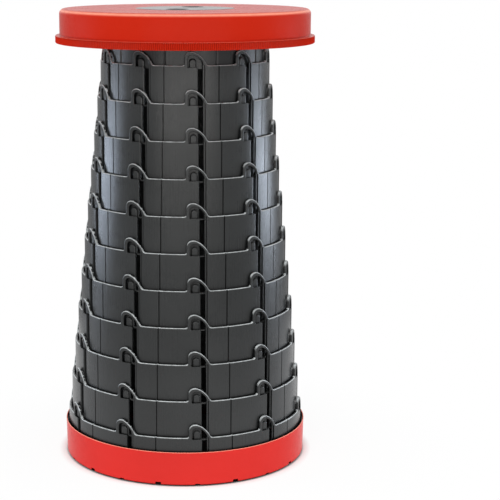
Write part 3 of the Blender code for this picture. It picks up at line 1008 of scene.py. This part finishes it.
class STOOL_OT_screws(bpy.types.Operator):
    """Model one pan-head screw with a cross recess, and copy it to each hole in the collar"""

    bl_idname = "stool.screws"
    bl_label = "Collar Screws"

    def execute(self, context):
        low, high = (corner[2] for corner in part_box("seat_screw_1"))
        shank, head, head_top, dome = 0.0015, 0.0034, low + 0.0022, 0.0013
        screw = draw_turned("screw_pattern", [
            (0.0, high), (shank - 0.0004, high), (shank, high - 0.0004), (shank, head_top), (head, head_top),
            *round_corner((head - dome, low + dome), dome, 0.0, -90.0, 6), (0.0, low),
        ], 40)
        arm, half, rim, deep = 0.0019, 0.00045, low + 0.0002, low + 0.0013
        for turned in (0.0, math.pi / 2):
            tool = draw_plate("cross_recess", [
                (-arm, low - 0.001), (arm, low - 0.001), (arm, rim), (half, deep), (-half, deep), (-arm, rim),
            ], -half, half)
            set_place(tool, turn=turned)
            cut(screw, tool)
        smooth(screw)
        copy_to_nodes(screw, "collar_screw", "seat_screw_", "seat", "steel", plated_steel())
        return {"FINISHED"}


# ---------------- base

class STOOL_OT_base(bpy.types.Operator):
    """Model the red base ring with its floor flange, rim notches and pad seats"""

    bl_idname = "stool.base"
    bl_label = "Base"

    def execute(self, context):
        base = context.scene.stool_base
        foot, rim = base.outer - base.draft, base.lift
        mouth = base.bore + base.rebate
        obj = self.turn_ring(base, foot, mouth)
        self.cut_notches(obj, base, context.scene.stool_column.hooks)
        drill(
            obj, "pad_seat", node_places("foot_pad_"), 40, base.pad_radius + FIT,
            2 * (base.pad_thickness + FIT), 0.0,
        )
        smooth(obj)
        mark_corners(obj)

        def inside(place):
            limit = mouth + WELD if place.z > rim + 0.004 else foot - 0.0008
            return rim + WELD < place.z < base.top - 0.001 and place.xy.length < limit

        # Painted shade on the ring's inner faces, where little light reaches.
        keep_marks(obj, "soil", [float(inside(vert.co)) for vert in obj.data.vertices])
        finish = red_plastic("base_red_plastic", context.scene.stool_colours.base_red)
        finish_piece(obj, "base", "red_plastic", finish, "base_shell")
        return {"FINISHED"}

    def turn_ring(self, base, foot, mouth):
        rim, flange, floor_top = base.lift, base.floor_radius, base.floor_top
        step = base.top - base.rebate_depth
        chamfer, top_ease, edge, fillet, corner = 0.0002, 0.0005, 0.0004, 0.0012, base.corner
        return draw_turned("base_moulding", [
            (base.bore, step), (mouth, step + chamfer), (mouth, base.top - chamfer),
            (mouth + chamfer, base.top),
            *round_corner((base.outer - top_ease, base.top - top_ease), top_ease, 90.0, 0.0, 4),
            (base.outer - chamfer, base.top - 0.006), (foot, rim + corner + 0.003),
            *round_corner((foot - corner, rim + corner), corner, 0.0, -90.0, 6),
            (flange + edge, rim), (flange, rim + edge), (flange, floor_top - edge), (flange + edge, floor_top),
            *round_corner((base.bore - fillet, floor_top + fillet), fillet, -90.0, 0.0, 4),
            (base.bore, step),
        ], 360)

    def cut_notches(self, obj, base, count):
        """Deep notches with narrower throats, and shallow ones half way between."""
        rim, ease, step = base.lift, 0.0005, FULL_TURN / count
        first, wide, tall = base.notch_turn, base.notch_width, base.notch_height
        for name, turn, width, height, depth in (
            ("deep_notches", first, wide, tall, 0.0020),
            ("notch_throats", first, wide - 0.0004, tall - 0.0009, 0.0120),
            ("shallow_notches", first + step / 2, wide * 0.9, tall * 0.6, 0.0060),
        ):
            half, up = width / 2, rim + height
            tool = draw_plate(name, [
                (-half, rim - 0.002), (half, rim - 0.002), (half, up - ease), (half - ease, up),
                (-half + ease, up), (-half, up - ease),
            ], -base.outer - 0.002, -base.outer + depth)
            set_place(tool, turn=turn)
            spread(tool, count, step)
            cut(obj, tool)


class STOOL_OT_pads(bpy.types.Operator):
    """Model one rubber foot pad with a ring tread, and copy it to each pad seat"""

    bl_idname = "stool.pads"
    bl_label = "Foot Pads"

    def execute(self, context):
        base = context.scene.stool_base
        thick, ring, wall = base.pad_thickness, 0.0003, 0.0003
        pad = draw_disc("pad_pattern", 40, base.pad_radius, thick, (0.0, 0.0, thick / 2))
        keep_place(pad)
        shape(pad)
        pick(pad, "FACE", lambda face: face.normal.z < -0.9)
        for inset, sink in (
            (0.0013, 0.0), (wall, ring), (0.0007, 0.0), (wall, -ring), (0.0010, 0.0), (wall, ring),
        ):
            bpy.ops.mesh.inset(thickness=inset, depth=0.0)
            if sink:
                slide(up=sink)
        round_edges(pad, 0.00025, 2, lambda edge: abs(edge.verts[0].co.z - edge.verts[1].co.z) < WELD
                    and min(vert.co.xy.length for vert in edge.verts) > base.pad_radius - WELD)
        close_mesh()
        smooth(pad)
        copy_to_nodes(pad, "rubber_foot", "foot_pad_", "base", "rubber", pad_rubber())
        return {"FINISHED"}


# ---------------- stage

AIM = Vector((0.0, 0.0, 0.25))
# Name, place, width and height, watts, colour, and whether gloss shows the lamp.
LAMPS = (
    ("left_softbox", (-1.40, 0.42, 0.09), (0.75, 0.22), 5.6, (0.72, 0.83, 1.0), True),
    ("right_softbox", (1.40, 0.42, 0.09), (0.75, 0.22), 6.6, (0.76, 0.86, 1.0), True),
    ("front_strip", (0.05, -1.30, 0.25), (1.9, 0.20), 4.2, (1.0, 0.98, 0.95), True),
    ("key_softbox", (-0.30, -1.75, 1.10), (1.3, 0.55), 17.5, (1.0, 0.99, 0.97), False),
    ("top_softbox", (0.00, -0.40, 2.20), (1.0, 0.6), 13.0, (1.0, 1.0, 1.0), True),
    ("left_fill", (-1.40, -0.10, 0.70), (0.6, 0.6), 4.5, (1.0, 0.98, 0.96), False),
    ("right_fill", (1.40, -0.10, 0.70), (0.6, 0.6), 5.5, (1.0, 0.98, 0.96), False),
)
CAMERA_PLACE = (0.0, -1.4388, 0.4988)
CAMERA_TILT = math.radians(90.0 - 11.611)
WHITE = (1.0, 1.0, 1.0, 1.0)


class STOOL_OT_stage(bpy.types.Operator):
    """Set up the white studio: floor, soft lamps, surroundings and camera"""

    bl_idname = "stool.stage"
    bl_label = "Stage"

    def execute(self, context):
        self.lay_floor(context)
        self.set_surroundings(context)
        for name, place, size, power, colour, shown in LAMPS:
            put_down()
            bpy.ops.object.light_add(type="AREA", location=place)
            lamp = name_piece(context.object, name)
            lamp.rotation_euler = (AIM - Vector(place)).to_track_quat("-Z", "Y").to_euler()
            lamp.data.shape = "RECTANGLE"
            lamp.data.size, lamp.data.size_y = size
            lamp.data.energy = power
            lamp.data.color = colour
            lamp.visible_glossy = shown
        put_down()
        bpy.ops.object.camera_add(location=CAMERA_PLACE, rotation=(CAMERA_TILT, 0.0, 0.0))
        camera = name_piece(context.object, "studio_camera")
        camera.data.sensor_width = 36.0
        camera.data.lens = 106.35
        camera.data.shift_x = 0.1299
        context.scene.camera = camera
        context.scene.view_settings.view_transform = "Standard"
        put_down()
        return {"FINISHED"}

    def lay_floor(self, context):
        """A pale round floor that looks white away from the stool and keeps its shadow near it, with a painted
        shadow under and just round the stool.
        """
        put_down()
        bpy.ops.mesh.primitive_circle_add(vertices=128, radius=0.55, fill_type="NGON")
        floor = name_piece(context.object, "studio_floor")
        keep_place(floor)
        material, tree, shader = new_material("studio_floor")
        tree.nodes.remove(shader)
        matt = add_node(tree, "BsdfDiffuse", "Matt floor")
        white = add_node(tree, "Emission", "White floor")
        place = add_node(tree, "TexCoord", "Floor coordinates").outputs["Object"]
        away = add_node(tree, "VectorMath", "From the stool", operation="LENGTH")
        link(tree, (place, away.inputs[0]))
        reach = away.outputs["Value"]
        # Painted shadow: the ground is darkened under the stool and in a thin ring just round its foot.
        shade = add_range(tree, "Painted shadow under the stool", reach, 0.1165, 0.1210, 0.04, 1.0)
        near = add_range(tree, "Contact shadow", reach, 0.1195, 0.128, 0.0, 0.92)
        far = add_range(tree, "Open floor", reach, 0.128, 0.300, 0.0, 0.08)
        open_floor = add_math(tree, "White by reach", near, far, "ADD")
        path = add_node(tree, "LightPath", "Ray kind").outputs
        shiny = add_math(tree, "Reflected or seen", path["Is Camera Ray"], path["Is Glossy Ray"], "MAXIMUM")
        rays = add_math(tree, "Or through glass", shiny, path["Is Transmission Ray"], "MAXIMUM")
        ground = tint(tree, "Ground", context.scene.stool_colours.ground, shade)
        link(tree, (ground, matt.inputs["Color"]))
        seen = add_math(tree, "Keep the shadow", rays, open_floor)
        show_white(tree, "Seen as white", seen, matt, white, "Material Output")
        floor.data.materials.append(material)

    def set_surroundings(self, context):
        """Soft light all round, seen as white, and reflected as white above the floor."""
        world = bpy.data.worlds.new("white_studio")
        context.scene.world = world
        world.use_nodes = True
        tree = world.node_tree
        soft = tree.nodes["Background"]
        white = add_node(tree, "Background", "White surroundings")
        for background, strength in ((soft, 0.38), (white, 1.0)):
            set_inputs(background, Color=WHITE, Strength=strength)
        towards = add_node(tree, "TexCoord", "Direction").outputs["Generated"]
        split = add_node(tree, "SeparateXYZ", "Split")
        path = add_node(tree, "LightPath", "Ray kind").outputs
        open_air = add_range(tree, "Above the floor", split.outputs["Z"], -0.10, 0.02, 0.0, 1.0)
        shown = add_math(tree, "Reflected", path["Is Glossy Ray"], open_air)
        seen = add_math(tree, "Seen", path["Is Camera Ray"], path["Is Transmission Ray"], "MAXIMUM")
        link(tree, (towards, split.inputs[0]))
        either = add_math(tree, "Seen or reflected", shown, seen, "MAXIMUM")
        show_white(tree, "White where seen", either, soft, white, "World Output")


# ---------------- add-on

class STOOL_PT_panel(bpy.types.Panel):
    """Sizes, colours and pieces of the stool"""

    bl_idname = "STOOL_PT_panel"
    bl_label = "Telescoping Stool"
    bl_space_type = "VIEW_3D"
    bl_region_type = "UI"
    bl_category = "Stool"

    def draw(self, context):
        for _, name, title in GROUPS:
            group = getattr(context.scene, name)
            box = self.layout.box()
            box.label(text=title)
            for key in group.__annotations__:
                box.prop(group, key)
        for operator in OPERATORS:
            self.layout.operator(operator.bl_idname)


OPERATORS = (
    STOOL_OT_seat, STOOL_OT_disc, STOOL_OT_collar, STOOL_OT_screws,
    STOOL_OT_tiers, STOOL_OT_base, STOOL_OT_pads, STOOL_OT_stage,
)
GROUPS = (
    (StoolSeatSizes, "stool_seat", "Seat"),
    (StoolColumnSizes, "stool_column", "Column"),
    (StoolBaseSizes, "stool_base", "Base"),
    (StoolColours, "stool_colours", "Colours"),
)


def register():
    for group, name, _ in GROUPS:
        bpy.utils.register_class(group)
        setattr(bpy.types.Scene, name, PointerProperty(type=group))
    for made in (*OPERATORS, STOOL_PT_panel):
        bpy.utils.register_class(made)


def unregister():
    for made in (STOOL_PT_panel, *reversed(OPERATORS)):
        bpy.utils.unregister_class(made)
    for group, name, _ in reversed(GROUPS):
        delattr(bpy.types.Scene, name)
        bpy.utils.unregister_class(group)


def main():
    register()
    bpy.ops.stool.seat()
    bpy.ops.stool.disc()
    bpy.ops.stool.collar()
    bpy.ops.stool.screws()
    bpy.ops.stool.tiers()
    bpy.ops.stool.base()
    bpy.ops.stool.pads()
    bpy.ops.stool.stage()


if __name__ == "__main__":
    main()
